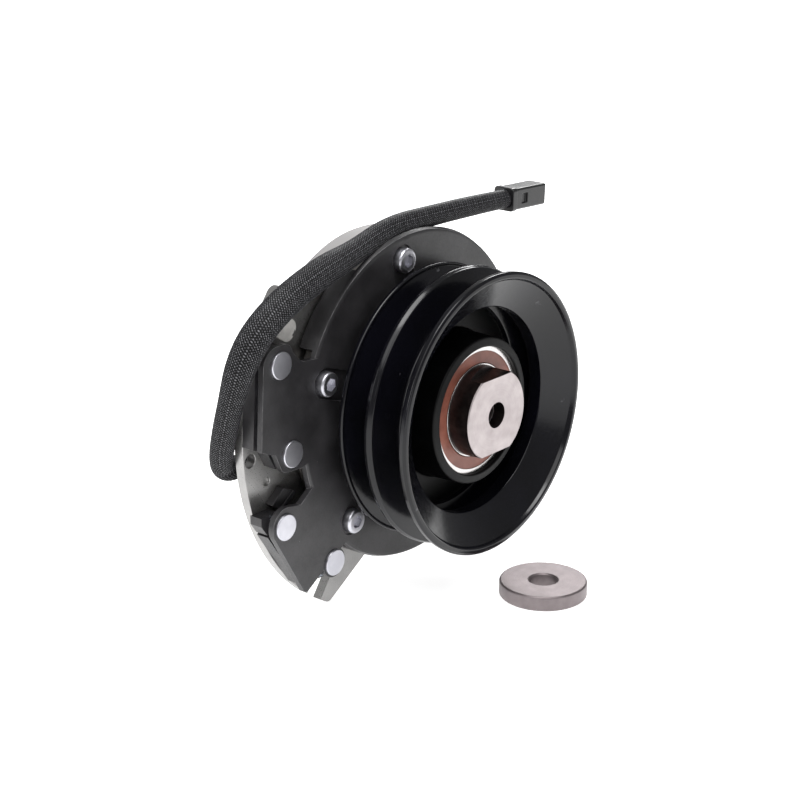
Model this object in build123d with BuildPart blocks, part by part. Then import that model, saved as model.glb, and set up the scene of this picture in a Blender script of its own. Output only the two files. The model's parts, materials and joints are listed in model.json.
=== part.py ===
from build123d import *
import os
from math import cos, pi, radians, sin, tan

# Electromagnetic clutch for a mower deck, millimetres. The shaft axis is Y, the pulley faces -Y,
# +Z is up. The origin is on the shaft axis at the rear face of the hub, where the engine shaft
# enters. A station is the distance ahead of that face, so a station s lies at y = -s.

# Driving dimensions: stations along the shaft
shell_rear, plate_rear, plate_front = 3.0, 22.0, 27.0
brake_rear, brake_front = 36.0, 39.0
rotor_rear, rotor_front = 21.0, 28.15
armature_rear, armature_front = 28.6, 33.6
ridge, rear_rim, web_rear, web_front = 64.0, 46.3, 53.0, 56.0
bearing_seat, bearing_face, boss_front = 61.0, 75.0, 76.8
dish_edge, rim_front, hub_front = 76.5, 86.3, 86.4

# Driving dimensions: radii
crank_bore, bolt_bore = 14.2875, 6.15
nose_radius, flat_offset, flat_tilt = 21.5, 18.2, 11.0
rim_radius, ridge_radius, rear_rim_radius = 66.7, 65.7, 65.0
groove_root, dish_inner = 51.6, 48.6
boss_bore, boss_outer, tube_bore, tube_flange = 31.0, 34.9, 28.5, 43.0
shell_outer, shell_inner = 77.0, 73.0
rotor_radius, armature_outer, armature_inner = 72.0, 75.0, 47.0
plate_hole, plate_ring, plate_wing = 73.5, 76.2, 107.0
disc_radius, disc_hole, skirt_inner = 80.1, 46.0, 77.1
hub_front_journal, hub_rear_journal = 17.5, 20.0

# Slot that takes the anti-rotation pin
slot_angle, slot_width, slot_root, slot_reach = 234.7, 11.2, 86.0, 30.0

# Fasteners
ear_rivets = [(-94.3, 37.8), (-87.9, -5.1), (-93.3, -38.5), (-60.7, -66.5)]
rivet_head, rivet_shank, rivet_head_height = 6.3, 3.25, 1.2
bolt_circle, bolt_head, bolt_head_height, bolt_shank = 69.0, 5.8, 4.6, 3.0
socket_radius, socket_depth = 3.2, 2.4
pocket_radius, pocket_depth = 7.2, 1.0
bolt_angles = [98.9, 161.3, 225.8, 278.9, 341.3, 38.9]

# Leaf springs between the pulley tube and the armature
spring_inner_circle, spring_outer_circle, spring_lead = 39.2, 56.0, 42.0
spring_width, spring_thickness, spring_count = 9.0, 0.6, 3

# Lead: route of its centre line, from the grommet to the connector
lead_diameter = 9.5
lead_route = [
    (-82.0, -12.5, -14.5), (-91.5, -12.5, -14.5), (-100.0, -12.6, -15.6), (-107.0, -14.0, -12.2),
    (-110.6, -17.2, -4.0), (-112.8, -22.0, 8.0), (-114.0, -27.8, 24.0), (-112.6, -32.6, 41.0),
    (-104.6, -36.0, 55.4), (-88.0, -38.4, 66.8), (-64.0, -37.0, 73.5), (-38.0, -32.8, 76.0),
    (-9.0, -30.3, 82.2), (21.0, -30.3, 81.8), (50.0, -31.0, 81.2), (77.0, -31.0, 79.8),
]
lead_exit = Vector(*lead_route[0])

# Washer that goes under the crankshaft bolt, lying beside the clutch
washer_outer, washer_hole, washer_height = 21.2, 6.6, 7.5
washer_place, floor_level = (24.0, -98.0), -95.0


def polar(radius, angle):
    return radius * cos(radians(angle)), radius * sin(radians(angle))


def lathe(profile, mode=Mode.ADD):
    """Turns a closed profile of (radius, station) points about the shaft axis."""
    with BuildSketch(Plane.XY) as section:
        with BuildLine():
            Polyline([(radius, -station) for radius, station in profile], close=True)
        make_face()
    revolve(section.sketch, axis=Axis.Y, mode=mode)


def tube(inner, outer, rear, front, mode=Mode.ADD):
    lathe([(inner, rear), (outer, rear), (outer, front), (inner, front)], mode)


def save(piece, name):
    piece.part.label = name
    export_step(piece.part, f"parts/{name}.step")


def across(station):
    """Plane square to the shaft; a positive extrusion runs towards the pulley."""
    return Plane.XZ.offset(station)


def outline(points):
    """Fills the closed polygon through the points in the sketch being drawn."""
    with BuildLine() as edge:
        Polyline(points, close=True)
    make_face(edge.edges())


# ---- Field: shell, coil and the plates that do not turn ----

def field_shell():
    exit_plane = Plane((-70.0, lead_exit.Y, lead_exit.Z), x_dir=(0, 1, 0), z_dir=(-1, 0, 0))
    with BuildPart() as shell:
        lathe([
            (34.0, shell_rear), (74.0, shell_rear), (76.2, shell_rear + 0.9),
            (shell_outer, shell_rear + 3.0), (shell_outer, plate_rear), (shell_inner, plate_rear),
            (shell_inner, 7.0), (44.0, 7.0), (44.0, 20.6), (31.5, 20.6), (31.5, 19.6),
            (34.0, 19.6),
        ])
        with BuildSketch(exit_plane):
            Circle(6.0)
        extrude(amount=9.0, mode=Mode.SUBTRACT)
    return shell


def coil_bobbin():
    with BuildPart() as bobbin:
        lathe([
            (45.5, 7.4), (71.8, 7.4), (71.8, 9.0), (48.0, 9.0), (48.0, 17.2), (71.8, 17.2),
            (71.8, 18.8), (45.5, 18.8),
        ])
    return bobbin


def coil_winding():
    with BuildPart() as winding:
        tube(48.1, 69.5, 9.1, 17.1)
    return winding


def coil_potting():
    with BuildPart() as potting:
        tube(45.5, 72.6, 18.9, 20.4)
    return potting


def lead_grommet():
    with BuildPart() as grommet:
        with BuildSketch(Plane(lead_exit)):
            outline([(8.5, 0), (8.5, 5.9), (4.6, 5.9), (4.6, 8.0), (2.8, 8.0), (0, 6.0), (0, 0)])
        revolve(axis=Axis(lead_exit, (1, 0, 0)))
    return grommet


def field_plate():
    slot_plane = across(plate_rear)
    with BuildPart() as plate:
        with BuildSketch(slot_plane) as blank:
            outline([(-44, 66), (-58, 61), (-83.5, 69.5), (-130, 83), (-140, -60), (-73.6, -107.7),
                     (-49, -92.6), (-24.2, -77.4), (0, -60), (0, 60)])
            Circle(plate_wing, mode=Mode.INTERSECT)
            fillet(blank.vertices().sort_by_distance(polar(plate_wing, 140.4))[0], 5.0)
            fillet(blank.vertices().sort_by_distance((-52.0, -94.0))[0], 3.5)
            Circle(plate_ring)
            Circle(plate_hole, mode=Mode.SUBTRACT)
            with PolarLocations(slot_root + slot_reach / 2, 1, start_angle=slot_angle):
                Rectangle(slot_reach, slot_width, mode=Mode.SUBTRACT)
            with PolarLocations(slot_root, 1, start_angle=slot_angle):
                Circle(slot_width / 2, mode=Mode.SUBTRACT)
            with Locations((-102.3, -7.3)):
                Circle(3.2, mode=Mode.SUBTRACT)
            with Locations(*ear_rivets):
                Circle(rivet_shank, mode=Mode.SUBTRACT)
        extrude(amount=plate_front - plate_rear)
        with BuildSketch(across(plate_front)):
            with Locations((-92.3, -19.9)):
                Circle(2.0)
        extrude(amount=-1.2, mode=Mode.SUBTRACT)
    return plate


def brake_plate():
    ear_a = [(-60, 34), (-79.7, 36), (-85.3, 40.7), (-88.5, 46.8), (-104.6, 46.8), (-107.2, 0.7),
             (-98.5, -3.0), (-94.0, -13.0), (-82.0, -13.6), (-66, -10)]
    ear_b = [(-62, -16), (-71.7, -23), (-82.8, -31.1), (-92.0, -29.6), (-107.9, -29.6),
             (-80.5, -76.0), (-64.5, -66.0), (-50, -58)]
    with BuildPart() as plate:
        lathe([
            (disc_hole, brake_rear), (disc_hole, brake_front), (disc_radius - 2.6, brake_front),
            (disc_radius - 0.8, brake_front - 0.8), (disc_radius, brake_front - 2.6),
            (disc_radius, 28.2), (skirt_inner, 28.2), (skirt_inner, brake_rear),
        ])
        with BuildSketch(across(28.0)):
            outline([(0, 0), polar(120, 151.5), (-130, 0), polar(120, 233)])
            outline([(0, 0), polar(120, 50), (0, 140), polar(120, 120.5)])
        extrude(amount=brake_rear - 28.0, mode=Mode.SUBTRACT)
        with BuildSketch(across(brake_rear)) as ears:
            outline(ear_a)
            fillet(ears.vertices().sort_by_distance((-104.6, 46.8))[0], 8.5)
            fillet(ears.vertices().sort_by_distance((-88.5, 46.8))[0], 5.0)
            fillet(ears.vertices().sort_by_distance((-94.0, -13.0))[0], 5.0)
            with BuildSketch(across(brake_rear), mode=Mode.PRIVATE) as second:
                outline(ear_b)
                fillet(second.vertices().sort_by_distance((-107.9, -29.6))[0], 9.0)
                fillet(second.vertices().sort_by_distance((-80.5, -76.0))[0], 2.5)
            add(second.sketch)
            with Locations(ear_rivets[3]):
                Circle(7.4)
            Circle(disc_hole + 8, mode=Mode.SUBTRACT)
        extrude(amount=brake_front - brake_rear)
        with BuildSketch(across(28.0)):
            with Locations((-77.5, 43.0)):
                Circle(7.0)
        extrude(amount=12.0, mode=Mode.SUBTRACT)
        with BuildSketch(across(brake_rear)):
            with Locations(*ear_rivets):
                Circle(rivet_shank)
            with Locations(*[polar(bolt_circle, angle) for angle in bolt_angles]):
                Circle(bolt_shank)
        extrude(amount=brake_front - brake_rear, mode=Mode.SUBTRACT)
        with BuildSketch(across(brake_front - pocket_depth)):
            for angle in bolt_angles:
                with PolarLocations(bolt_circle, 1, start_angle=angle):
                    Circle(pocket_radius)
                with PolarLocations(bolt_circle - 7.5, 1, start_angle=angle):
                    Rectangle(15.0, 2 * pocket_radius)
        extrude(amount=pocket_depth, mode=Mode.SUBTRACT)
    return plate


def brake_spacers():
    blocks = [
        [(-88.0, 44.5), (-104.4, 44.5), (-107.2, 0.7), (-98.5, -3.0), (-93.5, -12.0),
         (-83.0, -12.0), (-83.0, 30.0)],
        [(-103.2, -33.0), (-103.2, -37.0), (-99.6, -42.0), (-87.6, -34.9), (-90.2, -34.2),
         (-92.5, -33.0)],
        [(-99.3, -43.3), (-79.3, -72.8), (-69.0, -74.2), (-60.6, -74.6), (-53.6, -64.4),
         (-58.0, -60.0), (-87.0, -36.0)],
    ]
    with BuildPart() as spacers:
        with BuildSketch(across(plate_front)):
            for block in blocks:
                outline(block)
            with Locations(*ear_rivets):
                Circle(rivet_shank, mode=Mode.SUBTRACT)
        extrude(amount=6.8)
    return spacers


def brake_shims():
    with BuildPart() as shims:
        with BuildSketch(across(33.8)):
            outline([(-88.0, 43.0), (-102.0, 43.0), (-104.5, 2.5), (-98.0, -1.0), (-92.5, -11.0),
                     (-84.0, -11.0), (-84.0, 30.0)])
            outline([(-97.5, -43.0), (-79.0, -70.5), (-68.0, -72.5), (-60.5, -73.0),
                     (-55.5, -64.4), (-59.0, -61.0), (-88.5, -32.5), (-98.0, -32.5)])
            with Locations(*ear_rivets):
                Circle(rivet_shank, mode=Mode.SUBTRACT)
        extrude(amount=brake_rear - 33.8)
    return shims


def rivets():
    with BuildPart() as pieces:
        with BuildSketch(across(plate_rear - 1.4)):
            with Locations(*ear_rivets):
                Circle(4.8)
        extrude(amount=1.4)
        with BuildSketch(across(plate_rear)):
            with Locations(*ear_rivets):
                Circle(rivet_shank)
        extrude(amount=brake_front - plate_rear)
        with BuildSketch(across(brake_front)):
            with Locations(*ear_rivets):
                Circle(rivet_head)
        extrude(amount=rivet_head_height)
        chamfer(pieces.edges().filter_by(GeomType.CIRCLE).group_by(Axis.Y)[0], 0.35)
    return pieces


def stop_blocks():
    """Two machined steel blocks on the plate between the ears, with a joint between them."""
    with BuildPart() as blocks:
        with BuildSketch(across(plate_front)):
            outline([(-85.6, -23.9), (-93.6, -30.2), (-89.3, -33.4), (-79.6, -26.6)])
            outline([(-79.2, -26.9), (-88.8, -33.7), (-86.7, -34.0), (-82.0, -32.0), (-77.2, -28.4)])
        extrude(amount=4.4)
    return blocks


def corner_block():
    with BuildPart() as block:
        with BuildSketch(across(plate_front)) as base:
            outline([(-88.0, 66.3), (-92.3, 57.8), (-85.5, 54.2), (-80.5, 62.8)])
            fillet(base.vertices(), 1.5)
        extrude(amount=5.6)
    return block


def lead_clip():
    """Zinc-plated strap that is riveted to the plate and runs under the lead."""
    with BuildPart() as clip:
        with BuildSketch(across(plate_front)) as base:
            outline([(-70.5, 49.5), (-77.5, 41.2), (-86.5, 47.6), (-80.5, 56.2)])
            fillet(base.vertices().sort_by(Axis.X)[-2:], 4.5)
        extrude(amount=1.6)
        with BuildSketch(across(plate_front + 1.6)):
            with Locations((-74.6, 46.2)):
                Circle(1.6)
        extrude(amount=-0.7, mode=Mode.SUBTRACT)
    return clip


def brake_ring():
    with BuildPart() as ring:
        tube(63.0, 75.0, 35.0, brake_rear)
        with BuildSketch(across(35.0)):
            with Locations(*[polar(bolt_circle, angle) for angle in bolt_angles]):
                Circle(bolt_shank)
        extrude(amount=1.0, mode=Mode.SUBTRACT)
    return ring


def brake_lining():
    with BuildPart() as lining:
        tube(63.5, 74.5, armature_front + 0.05, 35.0)
    return lining


def brake_bolts():
    places = [polar(bolt_circle, angle) for angle in bolt_angles]
    seat = brake_front - pocket_depth
    with BuildPart() as bolts:
        with BuildSketch(across(35.0)):
            with Locations(*places):
                Circle(bolt_shank)
        extrude(amount=seat - 35.0)
        with BuildSketch(across(seat)):
            with Locations(*places):
                Circle(bolt_head)
        extrude(amount=bolt_head_height)
        fillet(bolts.edges().filter_by(GeomType.CIRCLE).group_by(Axis.Y)[0], 1.3)
        with BuildSketch(across(seat + bolt_head_height)):
            with Locations(*places):
                RegularPolygon(socket_radius, 6, major_radius=True)
        extrude(amount=-socket_depth, mode=Mode.SUBTRACT)
    return bolts


# ---- Bearings: inner ring, outer ring, balls, cage and seals ----

def bearing_rings(bore, outer, rear, front, shoulder, seat, seal_seat, ball_circle, ball_radius):
    """Inner and outer ring of a deep-groove bearing, each with its ball track."""
    middle = (rear + front) / 2
    with BuildPart() as inner:
        tube(bore, shoulder, rear, front)
        with BuildSketch(Plane.XY):
            with Locations((ball_circle, -middle)):
                Circle(ball_radius + 0.05)
        revolve(axis=Axis.Y, mode=Mode.SUBTRACT)
    with BuildPart() as ring:
        tube(seat, outer, rear, front)
        with BuildSketch(Plane.XY):
            with Locations((ball_circle, -middle)):
                Circle(ball_radius + 0.05)
        revolve(axis=Axis.Y, mode=Mode.SUBTRACT)
        tube(seat - 0.5, seal_seat, rear, rear + 1.3, Mode.SUBTRACT)
        tube(seat - 0.5, seal_seat, front - 1.3, front, Mode.SUBTRACT)
    return inner, ring


def bearing_balls(rear, front, ball_circle, ball_radius, count):
    with BuildPart(across((rear + front) / 2)) as balls:
        with PolarLocations(ball_circle, count):
            Sphere(ball_radius)
    return balls


def bearing_cage(rear, front, ball_circle, ball_radius, count):
    middle = (rear + front) / 2
    with BuildPart() as cage:
        tube(ball_circle - 1.1, ball_circle + 1.1, middle - ball_radius - 0.9,
             middle + ball_radius + 0.9)
        with Locations(across(middle)):
            with PolarLocations(ball_circle, count):
                Cylinder(ball_radius + 0.15, 8.0, rotation=(0, 90, 0), mode=Mode.SUBTRACT)
    return cage


def bearing_seals(rear, front, inner, outer):
    with BuildPart() as seals:
        tube(inner, outer, rear + 0.3, rear + 1.3)
        tube(inner, outer, front - 1.3, front - 0.3)
    return seals


# ---- Rotor: hub, disc and nose that turn with the engine shaft ----

def rotor_hub():
    with BuildPart() as hub:
        lathe([
            (0, 0), (hub_rear_journal, 0), (hub_rear_journal, shell_rear), (18.8, shell_rear),
            (18.8, 4.6), (hub_rear_journal, 4.6), (hub_rear_journal, rotor_rear),
            (30.0, rotor_rear), (30.0, rotor_front), (hub_rear_journal, rotor_front),
            (hub_rear_journal, bearing_seat), (hub_front_journal, bearing_seat),
            (hub_front_journal, bearing_face), (12.0, bearing_face), (12.0, 80.0), (0, 80.0),
        ])
        tube(0, crank_bore, 0, 58.0, Mode.SUBTRACT)
        tube(0, bolt_bore, 58.0, 80.0, Mode.SUBTRACT)
        with BuildSketch(across(0)):
            with Locations((0, crank_bore + 0.2)):
                Rectangle(6.35, 6.2)
        extrude(amount=44.0, mode=Mode.SUBTRACT)
    return hub


def rotor_disc():
    with BuildPart() as disc:
        tube(30.0, rotor_radius, rotor_rear, rotor_front)
        with BuildSketch(across(rotor_rear)):
            for radius, start in ((51.0, 0), (63.5, 45)):
                for quarter in range(4):
                    with BuildLine(mode=Mode.PRIVATE) as path:
                        CenterArc((0, 0), radius, start + 90 * quarter + 9, 72)
                    SlotArc(path.edge(), 2.6)
        extrude(amount=rotor_front - rotor_rear, mode=Mode.SUBTRACT)
    return disc


def hub_nose():
    flats = Plane.XZ.offset(77.7)
    with BuildPart() as nose:
        lathe([
            (bolt_bore, 80.0), (12.0, 80.0), (12.0, bearing_face), (nose_radius, bearing_face),
            (nose_radius, hub_front - 0.5), (nose_radius - 0.5, hub_front),
            (bolt_bore, hub_front),
        ])
        with BuildSketch(flats.rotated((0, 0, flat_tilt))):
            with Locations((0, flat_offset + 5), (0, -flat_offset - 5)):
                Rectangle(60, 10)
        extrude(amount=12.0, mode=Mode.SUBTRACT)
    return nose


def hub_snap_ring():
    with BuildPart() as ring:
        tube(18.8, 23.4, shell_rear, 4.6)
        with BuildSketch(across(shell_rear)):
            with Locations((0, -22)):
                Rectangle(9.0, 9.0)
        extrude(amount=1.6, mode=Mode.SUBTRACT)
    return ring


# ---- Pulley: two pressed sheaves on a hub that rides on its own bearing ----

def front_sheave():
    with BuildPart() as sheave:
        lathe([
            (dish_inner, dish_edge), (63.2, 84.4), (63.9, rim_front), (66.0, rim_front),
            (rim_radius, rim_front - 0.7), (rim_radius, 83.4), (64.8, 82.1),
            (groove_root, 75.0), (groove_root, 70.8), (ridge_radius, ridge + 2.0),
            (ridge_radius, ridge), (60.0, ridge), (dish_inner, 68.6),
        ])
    return sheave


def rear_sheave():
    with BuildPart() as sheave:
        lathe([
            (ridge_radius, ridge), (ridge_radius, ridge - 2.0), (groove_root, 57.2),
            (groove_root, 53.4), (63.4, 48.4), (rear_rim_radius, 48.4),
            (rear_rim_radius, rear_rim), (62.6, rear_rim), (dish_inner, 52.2),
            (dish_inner, 59.4), (60.0, ridge),
        ])
    return sheave


def pulley_hub():
    with BuildPart() as hub:
        lathe([
            (boss_bore, bearing_seat), (tube_bore, bearing_seat), (tube_bore, 34.2),
            (tube_flange, 34.2), (tube_flange, 36.7), (boss_outer, 36.7), (boss_outer, web_rear),
            (dish_inner, web_rear), (dish_inner, web_front), (boss_outer, web_front),
            (boss_outer, boss_front - 0.6), (boss_outer - 0.6, boss_front),
            (boss_bore, boss_front),
        ])
        with BuildSketch(across(34.2)):
            with PolarLocations(spring_inner_circle, spring_count):
                Circle(1.8)
        extrude(amount=2.5, mode=Mode.SUBTRACT)
    return hub


def spring_ends():
    """Centre of each leaf spring's pulley end and armature end."""
    pairs = []
    for spring in range(spring_count):
        start = 360 / spring_count * spring
        pairs.append((polar(spring_inner_circle, start),
                      polar(spring_outer_circle, start + spring_lead)))
    return pairs


def leaf_springs():
    with BuildPart() as springs:
        with BuildSketch(across(armature_front)):
            for near, far in spring_ends():
                middle = ((near[0] + far[0]) / 2, (near[1] + far[1]) / 2)
                SlotCenterPoint(middle, far, spring_width)
            for near, far in spring_ends():
                with Locations(near, far):
                    Circle(1.8, mode=Mode.SUBTRACT)
        extrude(amount=spring_thickness)
    return springs


def pulley_rivets():
    with BuildPart() as pieces:
        with BuildSketch(across(33.0)):
            with PolarLocations(spring_inner_circle, spring_count):
                Circle(3.2)
        extrude(amount=0.6)
        with BuildSketch(across(33.6)):
            with PolarLocations(spring_inner_circle, spring_count):
                Circle(1.8)
        extrude(amount=3.1)
        with BuildSketch(across(36.7)):
            with PolarLocations(spring_inner_circle, spring_count):
                Circle(3.2)
        extrude(amount=1.2)
    return pieces


def armature_plate():
    with BuildPart() as armature:
        tube(armature_inner, armature_outer, armature_rear, armature_front)
        with BuildSketch(across(armature_rear)):
            with PolarLocations(spring_outer_circle, spring_count, start_angle=spring_lead):
                Circle(1.8)
        extrude(amount=armature_front - armature_rear, mode=Mode.SUBTRACT)
    return armature


def armature_rivets():
    with BuildPart() as pieces:
        with BuildSketch(across(armature_rear + 0.3)):
            with PolarLocations(spring_outer_circle, spring_count, start_angle=spring_lead):
                Circle(1.8)
        extrude(amount=armature_front + spring_thickness - armature_rear - 0.3)
        with BuildSketch(across(armature_front + spring_thickness)):
            with PolarLocations(spring_outer_circle, spring_count, start_angle=spring_lead):
                Circle(3.2)
        extrude(amount=0.9)
    return pieces


# ---- Lead and its connector ----

def lead_path():
    points = [Vector(*point) for point in lead_route]
    radii = []
    for before, corner, after in zip(points, points[1:], points[2:]):
        arriving, leaving = corner - before, after - corner
        half_turn = radians(arriving.get_angle(leaving)) / 2
        radii.append(0.45 * min(arriving.length, leaving.length) / tan(half_turn))
    print("lead radii", [round(radius, 1) for radius in radii])
    with BuildLine() as path:
        FilletPolyline(*points, radius=radii)
    return path.wire()


def lead_sleeve():
    path = lead_path()
    with BuildPart() as sleeve:
        with BuildSketch(Plane(origin=path @ 0, z_dir=path % 0)):
            Circle(lead_diameter / 2)
        sweep(path=path)
    length = path.length
    expected = pi * lead_diameter ** 2 / 4 * length
    print("lead length", round(length, 1), "volume", round(sleeve.part.volume, 1), round(expected, 1))
    return sleeve


def connector_plane():
    """Plane at the lead's end: local x runs on along the lead, local z runs to the pulley side."""
    end = Vector(*lead_route[-1])
    along = end - Vector(*lead_route[-2])
    return Plane(origin=end, x_dir=along, z_dir=Vector(0, -1, 0))


def connector_housing():
    place = connector_plane()
    with BuildPart(place) as housing:
        with Locations((15.5, 0, 0)):
            Box(24.0, 10.8, 11.2)
        fillet(housing.edges().filter_by(Axis(place.origin, place.x_dir)), 1.2)
        with Locations((10.2, 0, 5.2)):
            Box(4.6, 5.0, 1.6, mode=Mode.SUBTRACT)
        with Locations((24.5, 2.4, 0), (24.5, -2.4, 0)):
            Box(11.0, 3.4, 8.0, mode=Mode.SUBTRACT)
        with Locations((9.0, 0, 0)):
            Box(11.2, 6.0, 7.0, mode=Mode.SUBTRACT)
    return housing


def connector_lock():
    with BuildPart(connector_plane()) as lock:
        with Locations((1.75, 0, 0)):
            Box(3.5, 11.8, 12.2)
        fillet(lock.edges().filter_by(Axis(connector_plane().origin, connector_plane().x_dir)), 2.0)
        with Locations((5.5, 0, 0)):
            Box(4.0, 5.8, 6.8)
    return lock


def connector_terminals():
    with BuildPart(connector_plane()) as terminals:
        with Locations((22.45, 2.4, 0), (22.45, -2.4, 0)):
            Box(6.9, 0.8, 5.6)
    return terminals


def retaining_washer():
    x, y = washer_place
    with BuildPart(Plane((x, y, floor_level))) as washer:
        Cylinder(washer_outer, washer_height, align=(Align.CENTER, Align.CENTER, Align.MIN))
        chamfer(washer.edges(), 0.7)
        Cylinder(washer_hole, washer_height, align=(Align.CENTER, Align.CENTER, Align.MIN),
                 mode=Mode.SUBTRACT)
        chamfer(washer.edges().filter_by(
            lambda edge: edge.geom_type == GeomType.CIRCLE and edge.radius < 8), 0.8)
    return washer


def main():
    os.makedirs("parts", exist_ok=True)
    pulley_bearing = dict(rear=bearing_seat, front=bearing_face)
    field_bearing = dict(rear=4.6, front=19.6)
    pulley_inner, pulley_outer = bearing_rings(
        hub_front_journal, boss_bore, shoulder=22.2, seat=27.0, seal_seat=28.2,
        ball_circle=24.3, ball_radius=4.0, **pulley_bearing)
    field_inner, field_outer = bearing_rings(
        hub_rear_journal, 34.0, shoulder=24.6, seat=29.8, seal_seat=31.6,
        ball_circle=27.1, ball_radius=4.3, **field_bearing)
    pieces = {
        "field_shell": field_shell(),
        "coil_bobbin": coil_bobbin(),
        "coil_winding": coil_winding(),
        "coil_potting": coil_potting(),
        "field_plate": field_plate(),
        "brake_plate": brake_plate(),
        "brake_spacers": brake_spacers(),
        "brake_shims": brake_shims(),
        "ear_rivets": rivets(),
        "stop_blocks": stop_blocks(),
        "corner_block": corner_block(),
        "lead_clip": lead_clip(),
        "brake_ring": brake_ring(),
        "brake_lining": brake_lining(),
        "brake_bolts": brake_bolts(),
        "field_bearing_outer": field_outer,
        "field_bearing_inner": field_inner,
        "field_bearing_balls": bearing_balls(4.6, 19.6, 27.1, 4.3, 12),
        "field_bearing_cage": bearing_cage(4.6, 19.6, 27.1, 4.3, 12),
        "field_bearing_seals": bearing_seals(4.6, 19.6, 24.8, 31.6),
        "rotor_hub": rotor_hub(),
        "rotor_disc": rotor_disc(),
        "hub_nose": hub_nose(),
        "hub_snap_ring": hub_snap_ring(),
        "pulley_front_sheave": front_sheave(),
        "pulley_rear_sheave": rear_sheave(),
        "pulley_hub": pulley_hub(),
        "pulley_rivets": pulley_rivets(),
        "pulley_bearing_outer": pulley_outer,
        "pulley_bearing_inner": pulley_inner,
        "pulley_bearing_balls": bearing_balls(bearing_seat, bearing_face, 24.3, 4.0, 11),
        "pulley_bearing_cage": bearing_cage(bearing_seat, bearing_face, 24.3, 4.0, 11),
        "pulley_bearing_seals": bearing_seals(bearing_seat, bearing_face, 22.4, 28.2),
        "armature_plate": armature_plate(),
        "armature_rivets": armature_rivets(),
        "leaf_springs": leaf_springs(),
        "lead_grommet": lead_grommet(),
        "lead_sleeve": lead_sleeve(),
        "connector_housing": connector_housing(),
        "connector_lock": connector_lock(),
        "connector_terminals": connector_terminals(),
        "retaining_washer": retaining_washer(),
    }
    for name, piece in pieces.items():
        save(piece, name)


main()
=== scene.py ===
# Looks of an electromagnetic mower clutch, built around its CAD frame. Metres; the shaft axis is Y.
# A station is the distance ahead of the hub's rear face, so a station s lies at y = -s.
import bmesh
import bpy
import json
import math
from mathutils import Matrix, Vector


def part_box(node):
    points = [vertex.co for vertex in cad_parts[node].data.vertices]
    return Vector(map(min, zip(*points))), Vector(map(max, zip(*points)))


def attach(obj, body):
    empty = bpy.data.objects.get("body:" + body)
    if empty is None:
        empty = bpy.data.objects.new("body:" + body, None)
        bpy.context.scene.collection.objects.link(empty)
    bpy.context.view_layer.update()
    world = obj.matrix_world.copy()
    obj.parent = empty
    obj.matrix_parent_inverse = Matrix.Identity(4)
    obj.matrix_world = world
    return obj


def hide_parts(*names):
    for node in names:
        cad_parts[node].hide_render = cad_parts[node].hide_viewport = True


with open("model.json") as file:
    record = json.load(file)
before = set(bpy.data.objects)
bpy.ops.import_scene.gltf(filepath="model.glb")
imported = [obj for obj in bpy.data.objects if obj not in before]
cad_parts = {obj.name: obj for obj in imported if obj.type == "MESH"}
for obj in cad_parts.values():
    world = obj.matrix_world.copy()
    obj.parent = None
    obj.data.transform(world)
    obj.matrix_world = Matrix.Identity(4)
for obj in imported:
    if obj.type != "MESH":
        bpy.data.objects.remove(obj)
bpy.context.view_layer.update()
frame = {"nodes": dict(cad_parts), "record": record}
cadNodes = frame["nodes"]
mm = 0.001
slotOf = {part["node"]: part["material_slot"] for part in frame["record"]["subparts"]}
bodyOf = {node: body for body, group in frame["record"]["behaviour"]["bodies"].items() for node in group}


# Camera, light and floor

camera = {"lens": 90.0, "place": (-0.6990, -0.6075, 0.3062), "target": (-0.0242, -0.0485, 0.0055)}
studio = {
    "floorLevel": -0.0951, "floorSize": 30.0, "floorGlow": 0.75, "worldGrey": 0.34, "sunStrength": 1.5,
    "sunSpread": 50.0, "sunFrom": (-0.45, -0.35, 0.82),
}
softLights = [  # place, aim, width, power in watts
    {"name": "topLight", "place": (-0.10, -0.12, 0.75), "aim": (0, -0.05, 0), "width": 0.45, "power": 4.0},
    {"name": "leftLight", "place": (-0.85, 0.25, 0.35), "aim": (0, -0.05, 0), "width": 0.40, "power": 2.0},
    {"name": "rimLight", "place": (0.75, 0.35, 0.55), "aim": (0, -0.05, 0), "width": 0.35, "power": 4.0},
]


def addToScene(name, data):
    item = bpy.data.objects.new(name, data)
    bpy.context.scene.collection.objects.link(item)
    return item


def aimAt(item, place, target):
    item.location = place
    item.rotation_euler = (Vector(target) - Vector(place)).to_track_quat("-Z", "Y").to_euler()


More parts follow.
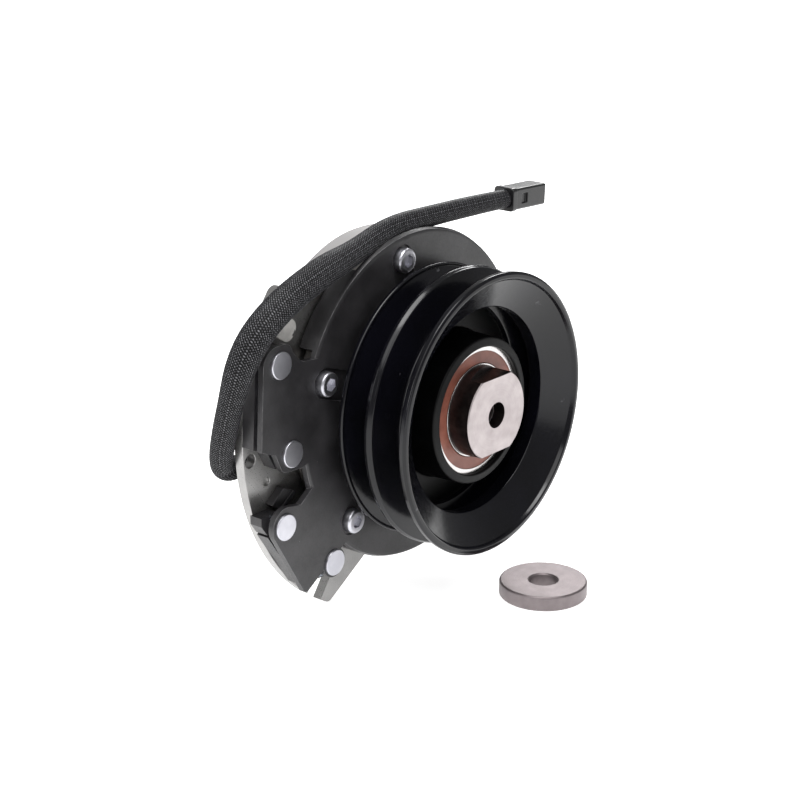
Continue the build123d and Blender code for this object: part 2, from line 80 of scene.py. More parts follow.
def buildStudio():
    lens = bpy.data.cameras.new("camera")
    lens.lens, lens.sensor_width, lens.clip_start = camera["lens"], 36.0, 0.01
    cameraItem = addToScene("camera", lens)
    aimAt(cameraItem, camera["place"], camera["target"])
    bpy.context.scene.camera = cameraItem
    bpy.context.scene.view_settings.view_transform = "Standard"
    sun = bpy.data.lights.new("sun", "SUN")
    sun.energy, sun.angle = studio["sunStrength"], math.radians(studio["sunSpread"])
    aimAt(addToScene("sun", sun), studio["sunFrom"], (0, 0, 0))
    for light in softLights:
        lamp = bpy.data.lights.new(light["name"], "AREA")
        lamp.shape, lamp.size, lamp.energy = "DISK", light["width"], light["power"]
        aimAt(addToScene(light["name"], lamp), light["place"], light["aim"])
    world = bpy.data.worlds.new("studio")
    world.use_nodes = True
    grey = studio["worldGrey"]
    world.node_tree.nodes["Background"].inputs[0].default_value = (grey, grey, grey, 1)
    bpy.context.scene.world = world
    mesh = bpy.data.meshes.new("floor")
    half, level = studio["floorSize"] / 2, studio["floorLevel"]
    mesh.from_pydata([(-half, -half, level), (half, -half, level), (half, half, level), (-half, half, level)],
                     [], [(0, 1, 2, 3)])
    floor = addToScene("floor", mesh)
    paper = bpy.data.materials.new("whitePaperFloor")
    paper.use_nodes = True
    shader = paper.node_tree.nodes["Principled BSDF"]
    shader.inputs["Base Color"].default_value = (0.9, 0.9, 0.9, 1)
    shader.inputs["Roughness"].default_value = 0.9
    shader.inputs["Emission Color"].default_value = (1, 1, 1, 1)
    shader.inputs["Emission Strength"].default_value = studio["floorGlow"]
    mesh.materials.append(paper)


buildStudio()
print("studio ready")


# Materials

def hexLinear(code):
    channels = [int(code[i:i + 2], 16) / 255 for i in (1, 3, 5)]
    return tuple(c / 12.92 if c <= 0.04045 else ((c + 0.055) / 1.055) ** 2.4 for c in channels) + (1.0,)


def addNode(tree, kind, inputs=None, **settings):
    node = tree.nodes.new(kind)
    for name, value in settings.items():
        setattr(node, name, value)
    for name, value in (inputs or {}).items():
        if isinstance(value, bpy.types.NodeSocket):
            tree.links.new(value, node.inputs[name])
        else:
            node.inputs[name].default_value = value
    return node


# Fine rings about a point of the XZ plane, as a lathe or a face mill leaves them
def turnedRings(tree, coords, pitchMm, centre=(0.0, 0.0)):
    moved = addNode(tree, "ShaderNodeMapping", {"Vector": coords, "Location": (-centre[0], 0, -centre[1]),
                                                "Scale": (1, 0, 1)})
    radius = addNode(tree, "ShaderNodeVectorMath", {0: moved.outputs[0]}, operation="LENGTH").outputs["Value"]
    steps = addNode(tree, "ShaderNodeMath", {0: radius, 1: 1 / (pitchMm * mm)}, operation="MULTIPLY")
    return addNode(tree, "ShaderNodeTexNoise", {"W": steps.outputs[0], "Scale": 1.0, "Detail": 2.0},
                   noise_dimensions="1D").outputs[0]


# The same rings about the loose washer's own upright axis
def washerRings(tree, coords):
    low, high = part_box("retaining_washer")
    middle = (low + high) / 2
    moved = addNode(tree, "ShaderNodeMapping", {"Vector": coords, "Location": (-middle.x, -middle.y, 0),
                                                "Scale": (1, 1, 0)})
    radius = addNode(tree, "ShaderNodeVectorMath", {0: moved.outputs[0]}, operation="LENGTH").outputs["Value"]
    steps = addNode(tree, "ShaderNodeMath", {0: radius, 1: 1 / (0.5 * mm)}, operation="MULTIPLY")
    return addNode(tree, "ShaderNodeTexNoise", {"W": steps.outputs[0], "Scale": 1.0, "Detail": 2.0},
                   noise_dimensions="1D").outputs[0]


toneSpan = (0.35, 0.65)  # the part of the noise's range that the two tones are spread over
speckFrom, speckTo, speckStrength = 0.71, 0.78, 0.6  # only the highest peaks of the noise become specks


# A real finish: a tone that drifts over toneMm, grain over grainMm, and marks where the look names them
def makeFinish(name, look):
    material = bpy.data.materials.new(name)
    material.use_nodes = True
    tree = material.node_tree
    tree.nodes.clear()
    coords = addNode(tree, "ShaderNodeTexCoord").outputs["Object"]
    tone, grain, dots = (
        addNode(tree, "ShaderNodeTexNoise", {
            "Vector": coords, "Scale": 1 / (sizeMm * mm), "Detail": detail}).outputs[0]
        for sizeMm, detail in ((look["toneMm"], 4.0), (look["grainMm"], 2.0), (look.get("speckMm", 3.0), 6.0)))
    height = grain
    if "marks" in look:
        marks = look["marks"](tree, coords)
        share = look.get("markShare", 0.5)
        tone = addNode(tree, "ShaderNodeMix", {0: share, 2: tone, 3: marks}).outputs[0]
        height = addNode(tree, "ShaderNodeMix", {0: share, 2: grain, 3: marks}).outputs[0]
    ramp = addNode(tree, "ShaderNodeValToRGB", {0: tone})
    stops = ramp.color_ramp.elements
    stops[0].position, stops[1].position = toneSpan
    stops[0].color, stops[1].color = hexLinear(look["dark"]), hexLinear(look["light"])
    colour = ramp.outputs[0]
    if "specks" in look:  # dust and rub marks, a few to the square centimetre
        few = addNode(tree, "ShaderNodeMapRange", {"Value": dots, "From Min": speckFrom, "From Max": speckTo,
                                                   "To Min": 0.0, "To Max": speckStrength})
        colour = addNode(tree, "ShaderNodeMix", {0: few.outputs[0], 6: colour, 7: hexLinear(look["specks"])},
                         data_type="RGBA").outputs[2]
    smooth, coarse = look["rough"]
    rough = addNode(tree, "ShaderNodeMapRange", {"Value": height, "From Min": 0.3, "From Max": 0.7,
                                                 "To Min": smooth, "To Max": coarse})
    bump = addNode(tree, "ShaderNodeBump", {"Height": height, "Distance": look["grainDepthMm"] * mm,
                                            "Strength": 1.0})
    shader = addNode(tree, "ShaderNodeBsdfPrincipled", {
        "Base Color": colour, "Metallic": look.get("metal", 0.0), "Roughness": rough.outputs[0],
        "Normal": bump.outputs[0]})
    if not look.get("metal"):
        shader.inputs["IOR"].default_value = look.get("ior", 1.5)
    addNode(tree, "ShaderNodeOutputMaterial", {"Surface": shader.outputs[0]})
    return material


finishes = {
    # zinc-plated plate, face-milled: silver ground with fine sweeping arcs that keep its mirror dull
    "zinc_steel": ("faceMilledZincSteel", {
        "light": "#9e9d9c", "dark": "#939291", "metal": 0.85, "rough": (0.26, 0.34), "toneMm": 9.0, "grainMm": 0.5,
        "grainDepthMm": 0.004, "markShare": 0.2, "marks": lambda t, c: turnedRings(t, c, 0.7, (-0.150, -0.060))}),
    # turned steel shell, lightly oxidised: pale matt grey with faint rings
    "shell_steel": ("turnedGreyShellSteel", {
        "light": "#a09e9e", "dark": "#969494", "metal": 0.35, "rough": (0.45, 0.58), "toneMm": 14.0, "grainMm": 0.7,
        "grainDepthMm": 0.008, "markShare": 0.6, "marks": lambda t, c: turnedRings(t, c, 0.9)}),
    # black oxide on stamped steel: satin near-black, dusty where it was handled
    "black_plate": ("blackOxideStampedSteel", {
        "light": "#2b2a2c", "dark": "#1b1a1c", "rough": (0.34, 0.5), "toneMm": 16.0, "grainMm": 0.9,
        "grainDepthMm": 0.012, "specks": "#7d7c7e", "speckMm": 2.6}),
    # stoved enamel over spun steel: wet-looking black with a slight orange peel
    "black_pulley": ("glossBlackStovedEnamel", {
        "light": "#0b0b11", "dark": "#060609", "rough": (0.13, 0.2), "toneMm": 30.0, "grainMm": 1.6,
        "grainDepthMm": 0.004, "ior": 1.38, "specks": "#5a5a5e", "speckMm": 6.0}),
    # fine-turned mild steel: warm grey with close rings
    "machined_steel": ("fineTurnedMildSteel", {
        "light": "#b3abab", "dark": "#989090", "metal": 1.0, "rough": (0.36, 0.46), "toneMm": 9.0, "grainMm": 0.35,
        "grainDepthMm": 0.006, "markShare": 0.3, "marks": lambda t, c: turnedRings(t, c, 0.3)}),
    "rotor_steel": ("groundRotorSteel", {
        "light": "#a09c99", "dark": "#74706d", "metal": 1.0, "rough": (0.35, 0.55), "toneMm": 10.0, "grainMm": 0.4,
        "grainDepthMm": 0.01, "markShare": 0.5, "marks": lambda t, c: turnedRings(t, c, 0.4)}),
    # bright zinc on cold-headed steel: clean, even silver with a soft bloom
    "rivet_zinc": ("brightZincColdHeadedSteel", {
        "light": "#c3c3c9", "dark": "#b4b4bb", "metal": 1.0, "rough": (0.3, 0.38), "toneMm": 9.0, "grainMm": 0.3,
        "grainDepthMm": 0.001}),
    "bearing_steel": ("groundBearingSteel", {
        "light": "#cfcccb", "dark": "#b6b3b2", "metal": 1.0, "rough": (0.2, 0.3), "toneMm": 8.0, "grainMm": 0.3,
        "grainDepthMm": 0.002, "markShare": 0.5, "marks": lambda t, c: turnedRings(t, c, 0.35)}),
    # moulded nitrile seal: matt red-brown, a little uneven
    "seal_rubber": ("mouldedBrownNitrile", {
        "light": "#8c5445", "dark": "#6f3e31", "rough": (0.4, 0.52), "toneMm": 11.0, "grainMm": 0.5,
        "grainDepthMm": 0.006}),
    "cage_nylon": ("mouldedCageNylon", {
        "light": "#d9cfae", "dark": "#c3b791", "rough": (0.4, 0.5), "toneMm": 9.0, "grainMm": 0.6,
        "grainDepthMm": 0.008}),
    "coil_copper": ("enamelledCopperWire", {
        "light": "#c4733c", "dark": "#8d4a22", "metal": 1.0, "rough": (0.25, 0.4), "toneMm": 5.0, "grainMm": 0.8,
        "grainDepthMm": 0.05, "markShare": 0.7, "marks": lambda t, c: turnedRings(t, c, 0.9)}),
    "coil_plastic": ("castBlackEpoxy", {
        "light": "#262626", "dark": "#161616", "rough": (0.35, 0.5), "toneMm": 10.0, "grainMm": 0.8,
        "grainDepthMm": 0.02}),
    "friction": ("pressedFrictionLining", {
        "light": "#5a524b", "dark": "#38322d", "rough": (0.75, 0.9), "toneMm": 3.0, "grainMm": 0.5,
        "grainDepthMm": 0.06}),
    "spring_steel": ("blueTemperedSpringSteel", {
        "light": "#8b8f96", "dark": "#5b6068", "metal": 1.0, "rough": (0.22, 0.34), "toneMm": 8.0, "grainMm": 0.4,
        "grainDepthMm": 0.006}),
    "grommet_rubber": ("mouldedBlackGrommetRubber", {
        "light": "#202020", "dark": "#141414", "rough": (0.6, 0.75), "toneMm": 5.0, "grainMm": 0.6,
        "grainDepthMm": 0.02}),
    # glass-filled nylon, moulded against a spark-eroded tool: soft sheen on black
    "connector_plastic": ("mouldedBlackNylon", {
        "light": "#131315", "dark": "#0b0b0d", "rough": (0.26, 0.36), "toneMm": 6.0, "grainMm": 0.35,
        "grainDepthMm": 0.005, "ior": 1.53}),
    "terminal_brass": ("tinnedBrassSheet", {
        "light": "#d9cfa0", "dark": "#b0a478", "metal": 1.0, "rough": (0.25, 0.35), "toneMm": 4.0, "grainMm": 0.3,
        "grainDepthMm": 0.006}),
}
otherFinishes = {
    # tumbled mild steel: warm grey, sparkling grain
    "washer": ("tumbledWasherSteel", {
        "light": "#7b7374", "dark": "#6c6465", "metal": 0.75, "rough": (0.38, 0.48), "toneMm": 5.0, "grainMm": 0.4,
        "grainDepthMm": 0.012, "markShare": 0.35, "marks": lambda t, c: washerRings(t, c)}),
    # the same black oxide on every rounded edge: a dull grey line, partly rubbed wear and partly a painted edge
    # highlight
    "wornAndHighlitEdge": ("blackOxideEdgeWearAndHighlight", {
        "light": "#6a696b", "dark": "#2a292b", "rough": (0.32, 0.45), "toneMm": 5.0, "grainMm": 0.6,
        "grainDepthMm": 0.004}),
    # satin zinc on a pressed strap: pale, hardly mirror-like
    "clipZinc": ("satinZincPressedStrap", {
        "light": "#e2e0dc", "dark": "#cfcdc9", "metal": 0.2, "rough": (0.38, 0.5), "toneMm": 4.0, "grainMm": 0.4,
        "grainDepthMm": 0.006}),
    # the same enamel worn dull on the hub's boss
    "bossEnamel": ("dulledBlackStovedEnamel", {
        "light": "#070708", "dark": "#030303", "rough": (0.35, 0.45), "toneMm": 9.0, "grainMm": 0.8,
        "grainDepthMm": 0.006, "ior": 1.22}),
    # darkened steel on the nose's round side behind its end face: a painted reflection of the dark pulley dish
    # around it
    "paintedDarkNoseSide": ("noseSteelPaintedDarkReflection", {
        "light": "#453d3c", "dark": "#2a2424", "metal": 0.9, "rough": (0.3, 0.42), "toneMm": 7.0, "grainMm": 0.5,
        "grainDepthMm": 0.006}),
}
# the real yarns are about 0.5 mm wide; the weave is drawn some three times as coarse, so that it shows
# the gap colour is painted shade in the weave's hollows; the glint colour is a painted highlight on its crowns
sleeveLook = {"yarn": "#0e0e0f", "paintedGapShade": "#020202", "glint": "#7a7a7e", "rough": 0.5, "ior": 1.22, "pitchMm": 1.3}


# Braided polyester: painted shade in the gaps and a painted highlight on the crowns that the mesh's weave attribute
# marks
def makeBraid(name, look):
    material = bpy.data.materials.new(name)
    material.use_nodes = True
    tree = material.node_tree
    tree.nodes.clear()
    crown = addNode(tree, "ShaderNodeAttribute", attribute_name="weave").outputs["Fac"]
    coords = addNode(tree, "ShaderNodeTexCoord").outputs["Object"]
    fuzz = addNode(tree, "ShaderNodeTexNoise", {"Vector": coords, "Scale": 1 / (0.5 * mm), "Detail": 3.0}).outputs[0]
    height = addNode(tree, "ShaderNodeMath", {0: fuzz, 1: 0.5, 2: crown}, operation="MULTIPLY_ADD").outputs[0]
    share = addNode(tree, "ShaderNodeMapRange", {"Value": height, "From Min": 0.3, "From Max": 1.25})
    ramp = addNode(tree, "ShaderNodeValToRGB", {0: share.outputs[0]})
    stops = ramp.color_ramp.elements
    stops[0].position, stops[0].color = 0.1, hexLinear(look["paintedGapShade"])
    stops[1].position, stops[1].color = 0.9, hexLinear(look["glint"])
    stops.new(0.6).color = hexLinear(look["yarn"])
    bump = addNode(tree, "ShaderNodeBump", {"Height": fuzz, "Distance": 0.05 * mm, "Strength": 1.0})
    shader = addNode(tree, "ShaderNodeBsdfPrincipled", {
        "Base Color": ramp.outputs[0], "Roughness": look["rough"], "IOR": look["ior"], "Normal": bump.outputs[0]})
    addNode(tree, "ShaderNodeOutputMaterial", {"Surface": shader.outputs[0]})
    return material


materials = {slot: makeFinish(name, look) for slot, (name, look) in finishes.items()}
materials["braid"] = makeBraid("braidedPolyesterSleeve", sleeveLook)
materials.update({key: makeFinish(name, look) for key, (name, look) in otherFinishes.items()})
print("materials ready", len(materials))


# Shared makers

# Makes the object that stands for CAD nodes: it rides on their body and takes their slot and finish
def finishPiece(name, mesh, node):
    piece = addToScene(name, mesh)
    if not mesh.materials:
        mesh.materials.append(materials[slotOf[node]])
    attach(piece, bodyOf[node])
    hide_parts(node)
    return piece


# Applies the modifiers of a working object and returns the plain mesh; the working object goes
def settle(piece):
    bpy.context.view_layer.update()
    shape = piece.evaluated_get(bpy.context.evaluated_depsgraph_get())
    mesh = bpy.data.meshes.new_from_object(shape)
    mesh.name = piece.name
    bpy.data.objects.remove(piece)
    return mesh


mergeDistance = 2e-6  # metres; a CAD mesh is loose triangles, joined before its edges are rounded
flatAngle = 0.6  # degrees; triangles that lie this flat to one another become one face


def soften(piece, widthMm, segments, angle=32.0, edgeWearAndHighlight=None):
    edge = piece.modifiers.new("edge", "BEVEL")
    # bevel faces take the second slot when given: a lighter edge colour, partly wear and partly a painted highlight
    edge.material = -1 if edgeWearAndHighlight is None else 1
    edge.width, edge.segments, edge.limit_method = widthMm * mm, segments, "ANGLE"
    edge.angle_limit, edge.harden_normals = math.radians(angle), False
    weight = piece.modifiers.new("normals", "WEIGHTED_NORMAL")
    weight.keep_sharp = False
    piece.data.shade_smooth()


# A merged copy of a CAD node with small rounded edges, which stands for the node
def refine(node, widthMm, segments=2, angle=32.0, edgeWearAndHighlight=None):
    mesh = cadNodes[node].data.copy()
    mesh.materials.clear()
    mesh.materials.append(materials[slotOf[node]])
    if edgeWearAndHighlight:
        mesh.materials.append(materials[edgeWearAndHighlight])
    shape = bmesh.new()
    shape.from_mesh(mesh)
    bmesh.ops.remove_doubles(shape, verts=shape.verts, dist=mergeDistance)
    bmesh.ops.dissolve_limit(shape, angle_limit=math.radians(flatAngle), verts=shape.verts, edges=shape.edges)
    bmesh.ops.recalc_face_normals(shape, faces=shape.faces)
    shape.to_mesh(mesh)
    shape.free()
    for name in [a.name for a in mesh.attributes if a.name == "custom_normal"]:
        mesh.attributes.remove(mesh.attributes[name])
    working = addToScene(node + "Fine", mesh)
    soften(working, widthMm, segments, angle, edgeWearAndHighlight)
    return finishPiece(node + "_fine", settle(working), node)


# A closed (radius, station, corner radius) profile in mm, with each corner turned to a short arc
def roundCorners(profile, steps=5):
    points = []
    count = len(profile)
    for i, (radius, station, corner) in enumerate(profile):
        here = Vector((radius, station))
        before = Vector(profile[i - 1][:2]) - here
        after = Vector(profile[(i + 1) % count][:2]) - here
        if corner <= 0:
            points.append(here)
            continue
        half = before.angle(after) / 2
        reach = min(corner / math.tan(half), 0.45 * before.length, 0.45 * after.length)
        middle = here + (before.normalized() + after.normalized()).normalized() * reach / math.cos(half)
        start, end = here + before.normalized() * reach - middle, here + after.normalized() * reach - middle
        for step in range(steps + 1):
            share = step / steps
            arm = start.slerp(end, share) if start.angle(end) > 1e-4 else start
            points.append(middle + arm)
    return points


# Turns a rounded profile about the shaft axis and stands for a CAD node
def lathe(name, profile, node, turns=160):
    ring = roundCorners(profile)
    shape = bmesh.new()
    rows = []
    for turn in range(turns):
        angle = math.tau * turn / turns
        rows.append([shape.verts.new((p.x * mm * math.cos(angle), -p.y * mm, p.x * mm * math.sin(angle)))
                     for p in ring])
    for i, row in enumerate(rows):
        other = rows[(i + 1) % turns]
        for j in range(len(ring)):
            k = (j + 1) % len(ring)
            shape.faces.new((row[j], row[k], other[k], other[j]))
    bmesh.ops.recalc_face_normals(shape, faces=shape.faces)
    mesh = bpy.data.meshes.new(name)
    shape.to_mesh(mesh)
    shape.free()
    mesh.shade_smooth()
    working = addToScene(name + "Work", mesh)
    weight = working.modifiers.new("normals", "WEIGHTED_NORMAL")
    weight.keep_sharp = False
    return finishPiece(name, settle(working), node)


# Lead: braided sleeve and connector

lead = {
    "route": [  # the CAD lead's own points, in metres
        (-0.0820, -0.0125, -0.0145), (-0.0915, -0.0125, -0.0145), (-0.1000, -0.0126, -0.0156),
        (-0.1070, -0.0140, -0.0122), (-0.1106, -0.0172, -0.0040), (-0.1128, -0.0220, 0.0080),
        (-0.1140, -0.0278, 0.0240), (-0.1126, -0.0326, 0.0410), (-0.1046, -0.0360, 0.0554),
        (-0.0880, -0.0384, 0.0668), (-0.0640, -0.0370, 0.0735), (-0.0380, -0.0328, 0.0760),
        (-0.0090, -0.0303, 0.0822), (0.0210, -0.0303, 0.0818), (0.0500, -0.0310, 0.0812),
        (0.0770, -0.0310, 0.0798),
    ],
    "length": 0.2862, "diameter": 0.0095,
    "facing": (-0.755, -0.566, 0.331),  # the flat side of the sleeve looks this way
    # share of the length, width and thickness of the flattened sleeve in mm
    "flatness": [(0.0, 9.3, 8.8), (0.08, 10.6, 8.0), (0.20, 11.4, 7.6), (0.33, 14.4, 6.8), (0.50, 13.8, 6.8),
                 (0.62, 11.2, 7.6), (0.85, 9.8, 8.2), (1.0, 9.2, 8.6)],
    "sides": 104, "stepMm": 0.40, "weaveHeightMm": 0.34, "meanRise": 0.6, "squareness": 0.8, "meanWidthMm": 10.6,
}


def flatnessAt(share):
    table = lead["flatness"]
    for (s0, w0, t0), (s1, w1, t1) in zip(table, table[1:]):
        if share <= s1:
            k = (share - s0) / (s1 - s0)
            k = k * k * (3 - 2 * k)
            return (w0 + (w1 - w0) * k) * mm, (t0 + (t1 - t0) * k) * mm
    return table[-1][1] * mm, table[-1][2] * mm


# Points along the route's NURBS spline
def readLine(route):
    curve = bpy.data.curves.new("leadLine", "CURVE")
    curve.dimensions, curve.resolution_u = "3D", 24
    spline = curve.splines.new("NURBS")
    spline.points.add(len(route) - 1)
    for point, place in zip(spline.points, route):
        point.co = (*place, 1.0)
    spline.order_u, spline.use_endpoint_u = 3, True
    bare = addToScene("leadLine", curve)
    bpy.context.view_layer.update()
    line = bpy.data.meshes.new_from_object(bare.evaluated_get(bpy.context.evaluated_depsgraph_get()))
    points = [v.co.copy() for v in line.vertices]
    bpy.data.objects.remove(bare)
    bpy.data.meshes.remove(line)
    bpy.data.curves.remove(curve)
    return points


# Height of the braid, 0 in its gaps to 1 on its crowns: two sets of yarns that pass over and under
def weaveAt(alongMm, turnMm):
    pitch = sleeveLook["pitchMm"]
    right, left = (alongMm + turnMm) / pitch, (alongMm - turnMm) / pitch
    across, along = abs(math.sin(math.pi * right)), abs(math.sin(math.pi * left))
    if (math.floor(right) + math.floor(left)) % 2:
        return across ** 0.7 * (0.5 + 0.5 * along)
    return 0.9 * along ** 0.7 * (0.5 + 0.5 * across)


def buildLead():
    points = readLine(lead["route"])
    steps = [0.0]
    for a, b in zip(points, points[1:]):
        steps.append(steps[-1] + (b - a).length)
    total = steps[-1]
    rings = round(total / (lead["stepMm"] * mm))
    path, seek = [], 0
    for i in range(rings + 1):
        want = total * i / rings
        while seek < len(steps) - 2 and steps[seek + 1] < want:
            seek += 1
        share = (want - steps[seek]) / (steps[seek + 1] - steps[seek])
        path.append(points[seek].lerp(points[seek + 1], min(share, 1.0)))
    sides, facing = lead["sides"], Vector(lead["facing"]).normalized()
    pitch = sleeveLook["pitchMm"]
    yarns = round(math.pi * lead["meanWidthMm"] / (2 * pitch))
    turnLength = 2 * pitch * yarns  # whole yarns, so that the weave meets itself
    shape = bmesh.new()
    weave = shape.verts.layers.float.new("weave")
    rows = []
    for i, point in enumerate(path):
        tangent = (path[min(i + 1, rings)] - path[max(i - 1, 0)]).normalized()
        flat = (facing - tangent * facing.dot(tangent)).normalized()
        broad = tangent.cross(flat)
        width, thick = flatnessAt(i / rings)
        row = []
        for k in range(sides):
            angle = math.tau * k / sides
            c, s = math.cos(angle), math.sin(angle)
            c = math.copysign(abs(c) ** lead["squareness"], c)  # squarer than an ellipse
            s = math.copysign(abs(s) ** lead["squareness"], s)
            crown = weaveAt(total * i / rings / mm, turnLength * k / sides)
            out = broad * (c * width / 2) + flat * (s * thick / 2)
            rise = (crown - lead["meanRise"]) * lead["weaveHeightMm"] * mm
            vert = shape.verts.new(point + out + out.normalized() * rise)
            vert[weave] = crown
            row.append(vert)
        rows.append(row)
    for low, high in zip(rows, rows[1:]):
        for k in range(sides):
            n = (k + 1) % sides
            shape.faces.new((low[k], low[n], high[n], high[k]))
    shape.faces.new(rows[0][::-1])
    shape.faces.new(rows[-1])
    bmesh.ops.recalc_face_normals(shape, faces=shape.faces)
    mesh = bpy.data.meshes.new("braidedSleeve")
    shape.to_mesh(mesh)
    shape.free()
    mesh.shade_smooth()
    sleeve = finishPiece("braided_sleeve", mesh, "lead_sleeve")


refine("connector_housing", 0.45, 3)
refine("connector_lock", 0.45, 3)
buildLead()
print("lead ready")


# Pulley: two spun sheaves on a hub

frontSheave = [
    (48.6, 76.2, 1.4), (63.2, 84.2, 1.2), (63.9, 86.3, 0.9), (66.0, 86.3, 1.0), (66.7, 85.4, 0.7), (66.7, 83.2, 0.8),
    (64.8, 82.1, 0.8), (51.6, 75.0, 1.2), (51.6, 70.8, 1.2), (65.7, 66.0, 0.9), (65.7, 64.0, 0.3), (60.0, 64.0, 0),
    (48.6, 68.6, 1.6),
]
rearSheave = [
    (65.7, 64.0, 0.3), (65.7, 62.0, 0.9), (51.6, 57.2, 1.2), (51.6, 53.4, 1.2), (63.4, 48.4, 1.0), (65.0, 48.4, 0.8),
    (65.0, 46.3, 0.8), (62.6, 46.3, 0.8), (48.6, 52.2, 0.3), (48.6, 59.4, 1.6), (60.0, 64.0, 0),
]
hubBoss = [
    (31.0, 61.0, 0.2), (28.5, 61.0, 0.2), (28.5, 34.2, 0.3), (43.0, 34.2, 0.5), (43.0, 36.7, 0.5), (34.9, 36.7, 0.6),
    (34.9, 53.0, 1.0), (48.6, 53.0, 0.2), (48.6, 56.0, 0.2), (34.9, 56.0, 1.6), (34.9, 76.8, 0.9),
    (31.0, 76.8, 0.4),
]
lathe("pulley_sheave_front", frontSheave, "pulley_front_sheave")
lathe("pulley_sheave_rear", rearSheave, "pulley_rear_sheave")
boss = lathe("pulley_hub_turned", hubBoss, "pulley_hub")
boss.data.materials[0] = materials["bossEnamel"]
print("pulley ready")


# Plates, shell and small parts that keep their CAD shape

# the lighter edge colour on these plates is partly rubbed wear and partly a painted edge highlight
refine("brake_plate", 0.3, 2, edgeWearAndHighlight="wornAndHighlitEdge")
refine("brake_spacers", 0.25, 2, edgeWearAndHighlight="wornAndHighlitEdge")
refine("field_plate", 0.3, 2)
refine("field_shell", 0.4, 2)
washer = refine("retaining_washer", 0.3, 2)
washer.data.materials[0] = materials["washer"]
nose = refine("hub_nose", 0.3, 2)
nose.data.materials.append(materials["paintedDarkNoseSide"])
paintedDarkSideEndStation = 86.0 * mm
for face in nose.data.polygons:  # the round side behind the end face takes the darker colour, a painted reflection of the dark dish
    if -face.center.y < paintedDarkSideEndStation:
        face.material_index = 1
for node, width in (("stop_blocks", 0.25), ("corner_block", 0.5), ("lead_clip", 0.3)):
    small = refine(node, width, 3)
    if node == "lead_clip":
        small.data.materials[0] = materials["clipZinc"]
for node in ("pulley_bearing_outer", "pulley_bearing_inner", "pulley_bearing_seals", "field_bearing_outer",
             "field_bearing_inner", "field_bearing_seals", "rotor_hub", "hub_snap_ring"):
    refine(node, 0.2, 2)
print("plates ready")


# Rivets through the ears and socket-headed bolts in the disc; a station and sizes in mm

rivets = {
    "places": [(-94.3, 37.8), (-87.9, -5.1), (-93.3, -38.5), (-60.7, -66.5)], "station": 39.0,
    "Head Radius": 6.3, "Head Height": 1.2, "Rim Radius": 0.45, "Shank Radius": 3.25, "Shank Length": 17.0,
    "Tail Radius": 4.8, "Tail Height": 1.4, "Socket Radius": 3.0, "Socket Depth": 1.0, "Has Socket": False,
    "Largest Turn": 0.0, "Seed": 3,
}
boltCircle, boltAngles = 69.0, (98.9, 161.3, 225.8, 278.9, 341.3, 38.9)
bolts = {
    "places": [(boltCircle * math.cos(math.radians(a)), boltCircle * math.sin(math.radians(a))) for a in boltAngles],
    "station": 38.0,
    "Head Radius": 5.8, "Head Height": 4.6, "Rim Radius": 1.3, "Shank Radius": 3.0, "Shank Length": 2.9,
    "Tail Radius": 2.6, "Tail Height": 0.1, "Socket Radius": 3.2, "Socket Depth": 2.4, "Has Socket": True,
    "Largest Turn": 1.0, "Seed": 7,
}
fastenerSides, creaseAngle = 40, 38.0


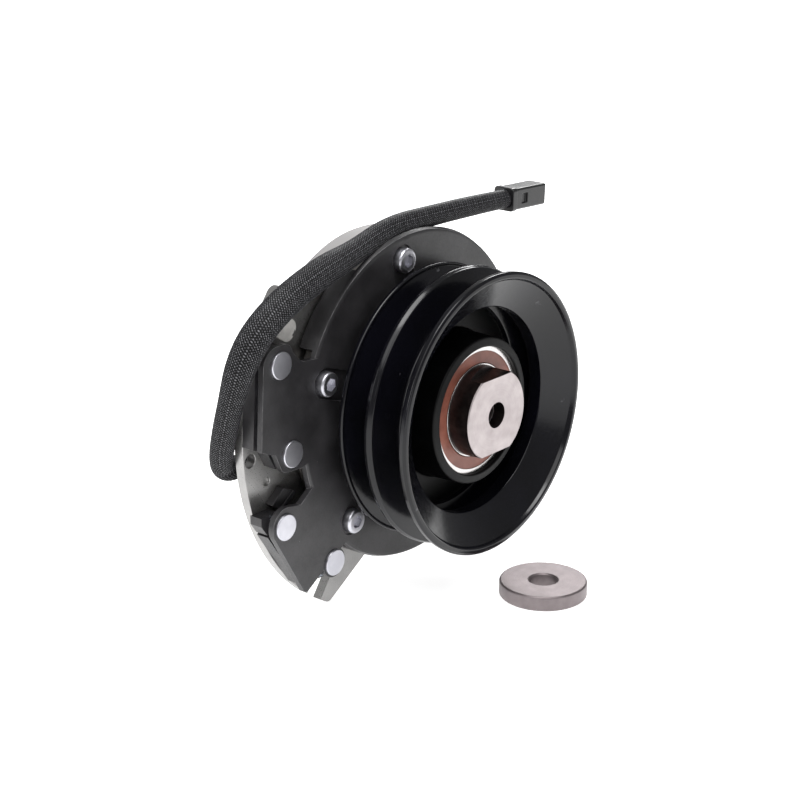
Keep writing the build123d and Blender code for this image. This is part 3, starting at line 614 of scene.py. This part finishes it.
def fastenerTree(name, sample):
    tree = bpy.data.node_groups.new(name, "GeometryNodeTree")
    tree.interface.new_socket("Places", in_out="INPUT", socket_type="NodeSocketGeometry")
    kinds = {bool: "NodeSocketBool", int: "NodeSocketInt", float: "NodeSocketFloat"}
    for label, value in sample.items():
        if label not in ("places", "station"):
            tree.interface.new_socket(label, in_out="INPUT", socket_type=kinds[type(value)])
    tree.interface.new_socket("Finish", in_out="INPUT", socket_type="NodeSocketMaterial")
    tree.interface.new_socket("Fasteners", in_out="OUTPUT", socket_type="NodeSocketGeometry")
    given = addNode(tree, "NodeGroupInput").outputs
    head, rim = given["Head Height"], given["Rim Radius"]
    below = addNode(tree, "ShaderNodeMath", {0: given["Shank Length"], 1: -1.0}, operation="MULTIPLY").outputs[0]
    foot = addNode(tree, "ShaderNodeMath", {0: below, 1: given["Tail Height"]}, operation="SUBTRACT").outputs[0]
    wall = addNode(tree, "ShaderNodeMath", {0: head, 1: rim}, operation="SUBTRACT").outputs[0]
    # each band is a bottom radius, a top radius, its base and its height; flat steps are bands of no height
    bands = [(given["Tail Radius"], given["Tail Radius"], foot, given["Tail Height"]),
             (given["Tail Radius"], given["Shank Radius"], below, 0.0),
             (given["Shank Radius"], given["Shank Radius"], below, given["Shank Length"]),
             (given["Shank Radius"], given["Head Radius"], 0.0, 0.0),
             (given["Head Radius"], given["Head Radius"], 0.0, wall)]
    rimSteps = 4
    turns = [math.pi / 2 * i / rimSteps for i in range(rimSteps + 1)]
    edges = [(addNode(tree, "ShaderNodeMath", {0: rim, 1: math.cos(a) - 1, 2: given["Head Radius"]},
                      operation="MULTIPLY_ADD").outputs[0],
              addNode(tree, "ShaderNodeMath", {0: rim, 1: math.sin(a) - 1, 2: head},
                      operation="MULTIPLY_ADD").outputs[0]) for a in turns]
    for (lowRadius, low), (highRadius, high) in zip(edges, edges[1:]):
        rise = addNode(tree, "ShaderNodeMath", {0: high, 1: low}, operation="SUBTRACT").outputs[0]
        bands.append((lowRadius, highRadius, low, rise))
    parts = []
    for lowRadius, highRadius, base, rise in bands:
        band = addNode(tree, "GeometryNodeMeshCone", {
            "Vertices": fastenerSides, "Radius Bottom": lowRadius, "Radius Top": highRadius, "Depth": rise},
            fill_type="NONE")
        lift = addNode(tree, "ShaderNodeCombineXYZ", {"Z": base})
        parts.append(addNode(tree, "GeometryNodeTransform", {
            "Geometry": band.outputs[0], "Translation": lift.outputs[0]}).outputs[0])
    for radius, level in ((given["Tail Radius"], foot), (edges[-1][0], head)):
        disc = addNode(tree, "GeometryNodeMeshCircle", {"Vertices": fastenerSides, "Radius": radius},
                       fill_type="NGON")
        lift = addNode(tree, "ShaderNodeCombineXYZ", {"Z": level})
        parts.append(addNode(tree, "GeometryNodeTransform", {
            "Geometry": disc.outputs[0], "Translation": lift.outputs[0]}).outputs[0])
    joined = addNode(tree, "GeometryNodeJoinGeometry")
    for part in parts:
        tree.links.new(part, joined.inputs[0])
    whole = addNode(tree, "GeometryNodeMergeByDistance", {"Geometry": joined.outputs[0], "Distance": 1e-6})
    # the hexagonal socket
    over = addNode(tree, "ShaderNodeMath", {0: given["Socket Depth"], 1: 2.0}, operation="MULTIPLY").outputs[0]
    cutter = addNode(tree, "GeometryNodeMeshCone", {
        "Vertices": 6, "Radius Bottom": given["Socket Radius"], "Radius Top": given["Socket Radius"], "Depth": over},
        fill_type="NGON")
    floorLevel = addNode(tree, "ShaderNodeMath", {0: head, 1: given["Socket Depth"]}, operation="SUBTRACT")
    lift = addNode(tree, "ShaderNodeCombineXYZ", {"Z": floorLevel.outputs[0]})
    sunk = addNode(tree, "GeometryNodeTransform", {"Geometry": cutter.outputs[0], "Translation": lift.outputs[0]})
    cut = addNode(tree, "GeometryNodeMeshBoolean", {0: whole.outputs[0], 1: sunk.outputs[0]}, operation="DIFFERENCE")
    chosen = addNode(tree, "GeometryNodeSwitch", {
        "Switch": given["Has Socket"], "False": whole.outputs[0], "True": cut.outputs[0]}, input_type="GEOMETRY")
    # one at every place, its head facing forward, turned about its own axis
    turn = addNode(tree, "FunctionNodeRandomValue", {3: given["Largest Turn"], "Seed": given["Seed"]},
                   data_type="FLOAT")
    facing = addNode(tree, "ShaderNodeCombineXYZ", {"X": math.pi / 2, "Y": turn.outputs[1]})
    placed = addNode(tree, "GeometryNodeInstanceOnPoints", {
        "Points": given["Places"], "Instance": chosen.outputs[0], "Rotation": facing.outputs[0]})
    real = addNode(tree, "GeometryNodeRealizeInstances", {0: placed.outputs[0]})
    done = addNode(tree, "GeometryNodeSetMaterial", {"Geometry": real.outputs[0], "Material": given["Finish"]})
    addNode(tree, "NodeGroupOutput", {0: done.outputs[0]})
    return tree


def buildFasteners(name, kind, node):
    points = bpy.data.meshes.new(name)
    points.from_pydata([(x * mm, -kind["station"] * mm, z * mm) for x, z in kind["places"]], [], [])
    working = addToScene(name + "Work", points)
    tree = fastenerTree(name, kind)
    modifier = working.modifiers.new("fasteners", "NODES")
    modifier.node_group = tree
    for socket in tree.interface.items_tree:
        if socket.in_out == "INPUT" and socket.name in kind:
            value = kind[socket.name]
            isLength = socket.name.endswith(("Radius", "Height", "Length", "Depth"))
            modifier[socket.identifier] = value * mm if isLength else value
        elif socket.in_out == "INPUT" and socket.name == "Finish":
            modifier[socket.identifier] = materials["rivet_zinc"]
    mesh = settle(working)
    shape = bmesh.new()
    shape.from_mesh(mesh)
    bmesh.ops.remove_doubles(shape, verts=shape.verts, dist=1e-6)
    bmesh.ops.recalc_face_normals(shape, faces=shape.faces)
    for face in shape.faces:
        face.smooth = True
    for edge in shape.edges:  # creases at the flat tops and at every sharp turn
        flatTop = any(len(face.verts) > fastenerSides // 2 for face in edge.link_faces)
        edge.smooth = not flatTop and edge.calc_face_angle(0.0) < math.radians(creaseAngle)
    shape.to_mesh(mesh)
    shape.free()
    mesh.name = name
    return finishPiece(name, mesh, node)


buildFasteners("ear_rivets_headed", rivets, "ear_rivets")
buildFasteners("brake_bolts_headed", bolts, "brake_bolts")
print("fasteners ready")


# CAD nodes that stay

for name, node in cadNodes.items():
    node.data.materials.clear()
    node.data.materials.append(materials[slotOf[name]])
